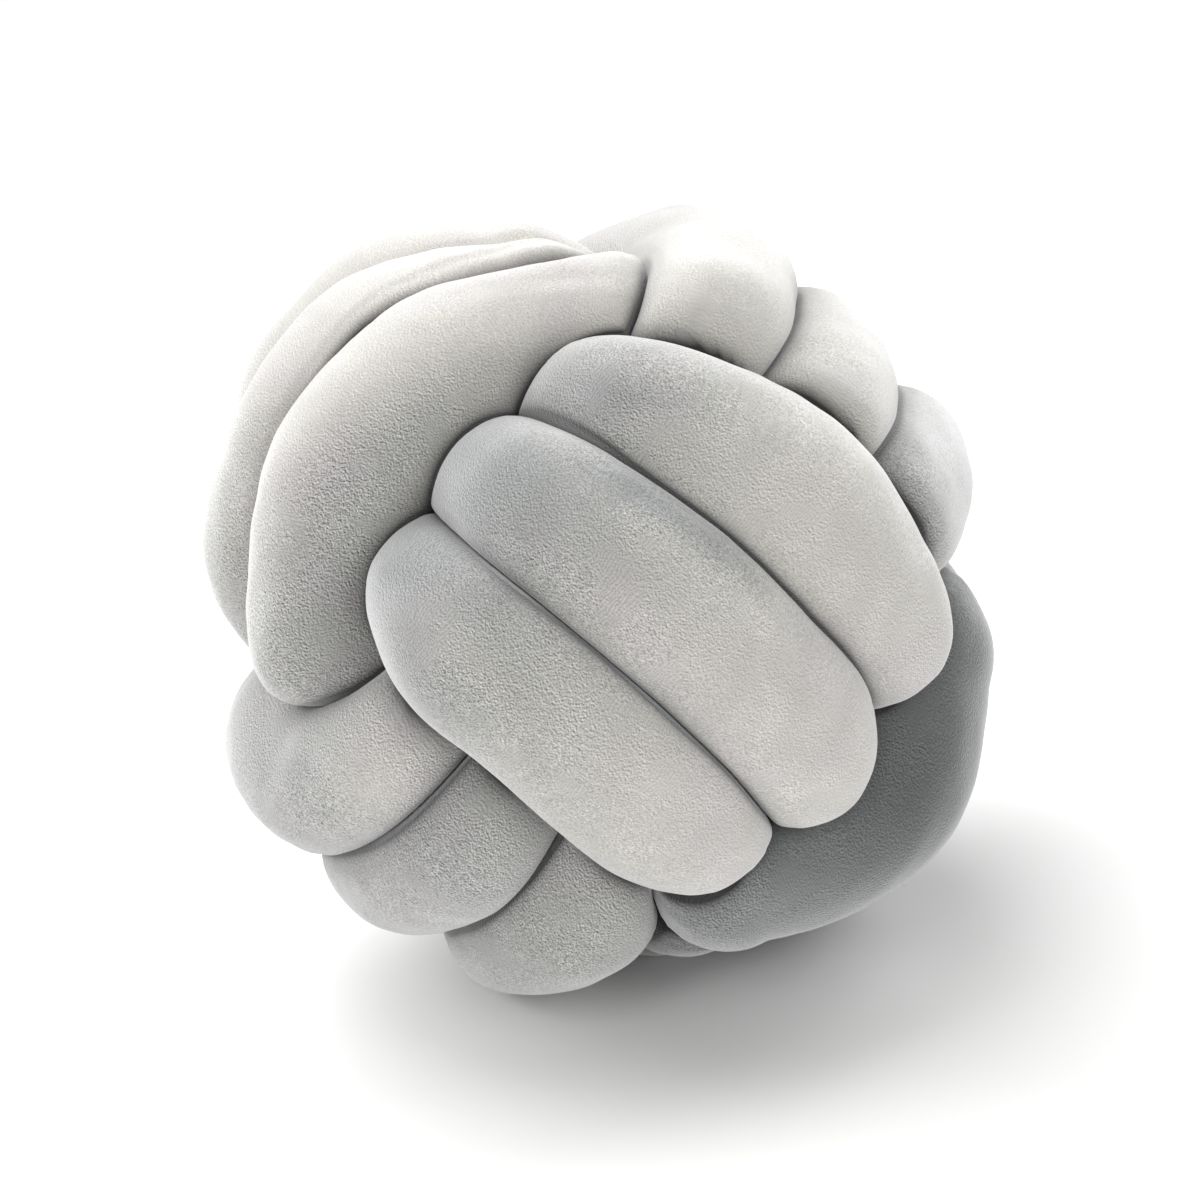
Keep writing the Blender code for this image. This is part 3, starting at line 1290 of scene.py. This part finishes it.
@dataclass
class Studio:
    """Floor, lamps, sky and camera.

    Attributes:
        aim: Point that the camera and the lamps look at.
        elevation: Degrees that the camera looks down.
        roll: Degrees that the camera is rolled.
        distance: Metres from the camera to the aim.
        ball_pixels: Radius of the ball in the picture.
        picture: Edge of the picture in pixels.
        ball_radius: Radius of the ball in metres.
        floor_radius: Radius of the floor in metres.
        floor_corners: Corners of its rim.
        floor_drop: Metres that it lies below the ball's flat spot.
        sky: Colour of the surroundings.
        sky_strength: Strength of the surroundings.
        lamps: The lamps.
    """

    aim: Triple
    elevation: float = 20.0
    roll: float = -10.0
    distance: float = 1.3
    ball_pixels: float = 400.0
    picture: float = 1200.0
    ball_radius: float = 0.140
    floor_radius: float = 7.0
    floor_corners: int = 96
    floor_drop: float = 0.0002
    sky: Colour = (1.0, 1.0, 1.0, 1.0)
    sky_strength: float = 0.18
    lamps: tuple[Lamp, ...] = (
        Lamp("top_lamp", (-0.4, 0.7, 2.2), 2.0, 52.0),
        Lamp("back_right_lamp", (1.5, 1.2, 1.2), 1.4, 24.0),
        Lamp("back_left_lamp", (-1.6, 1.0, 1.2), 1.4, 25.0),
        Lamp("front_left_lamp", (-1.1, -1.7, 1.1), 1.6, 17.0),
        Lamp("front_right_lamp", (1.3, -1.7, 0.7), 1.4, 18.0),
        Lamp("far_lamp", (-0.8, 3.4, 2.2), 2.4, 26.0),
    )

    def build(self) -> None:
        """Builds the studio."""
        self.floor()
        self.surroundings()
        for lamp in self.lamps:
            self.hang(lamp)
        self.camera()

    def floor(self) -> None:
        """Lays the pale floor."""
        steps = [2.0 * pi * step / self.floor_corners for step in range(self.floor_corners)]
        rim = [(self.floor_radius * cos(step), self.floor_radius * sin(step), 0.0)
               for step in steps]
        mesh = bpy.data.meshes.new("floor")
        mesh.from_pydata(rim, [], [tuple(range(self.floor_corners))])
        mesh.materials.append(PalePaint().make())
        floor = add_object("floor", mesh)
        floor.location.z = -self.floor_drop

    def surroundings(self) -> None:
        """Sets the even light from all round."""
        world = bpy.data.worlds.new("studio")
        world.use_nodes = True
        glow = world.node_tree.nodes["Background"]
        glow.inputs["Color"].default_value = self.sky
        glow.inputs["Strength"].default_value = self.sky_strength
        bpy.context.scene.world = world

    def hang(self, lamp: Lamp) -> None:
        """Hangs one lamp, aimed at the ball.

        Args:
            lamp: The lamp.
        """
        light = bpy.data.lights.new(lamp.name, "AREA")
        light.shape = "SQUARE"
        light.size = lamp.size
        light.energy = lamp.power
        obj = add_object(lamp.name, light)
        obj.location = lamp.place
        look = Vector(self.aim) - Vector(lamp.place)
        obj.rotation_euler = look.to_track_quat("-Z", "Y").to_euler()

    def camera(self) -> None:
        """Sets up the camera at the picture's viewing angle."""
        down, roll = radians(self.elevation), radians(self.roll)
        right = Vector((1.0, 0.0, 0.0))
        up = Vector((0.0, sin(down), cos(down)))
        back = Vector((0.0, -cos(down), sin(down)))
        rolled_right = right * cos(roll) + up * sin(roll)
        rolled_up = up * cos(roll) - right * sin(roll)
        focal = self.ball_pixels * (self.distance ** 2 - self.ball_radius ** 2) ** 0.5
        focal /= self.ball_radius

        data = bpy.data.cameras.new("camera")
        data.sensor_fit = "HORIZONTAL"
        data.angle = 2.0 * atan(self.picture / 2.0 / focal)
        camera = add_object("camera", data)
        turned = Matrix((rolled_right, rolled_up, back)).transposed().to_4x4()
        camera.matrix_world = Matrix.Translation(Vector(self.aim) + back * self.distance) @ turned
        bpy.context.scene.camera = camera


def show_plainly() -> None:
    """Shows colours as they are, without a film look."""
    view = bpy.context.scene.view_settings
    view.view_transform = "Standard"
    view.look = "None"


def main() -> None:
    """Builds the cushion and its studio, in order."""
    logging.basicConfig(level=logging.INFO)
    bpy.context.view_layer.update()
    knot = Knot()
    middle = knot.placed().translation
    Studio(aim=tuple(middle)).build()
    show_plainly()
    pieces = knot.build(Plush().make())
    log.info("%d turns", len(pieces))


if __name__ == "__main__":
    main()
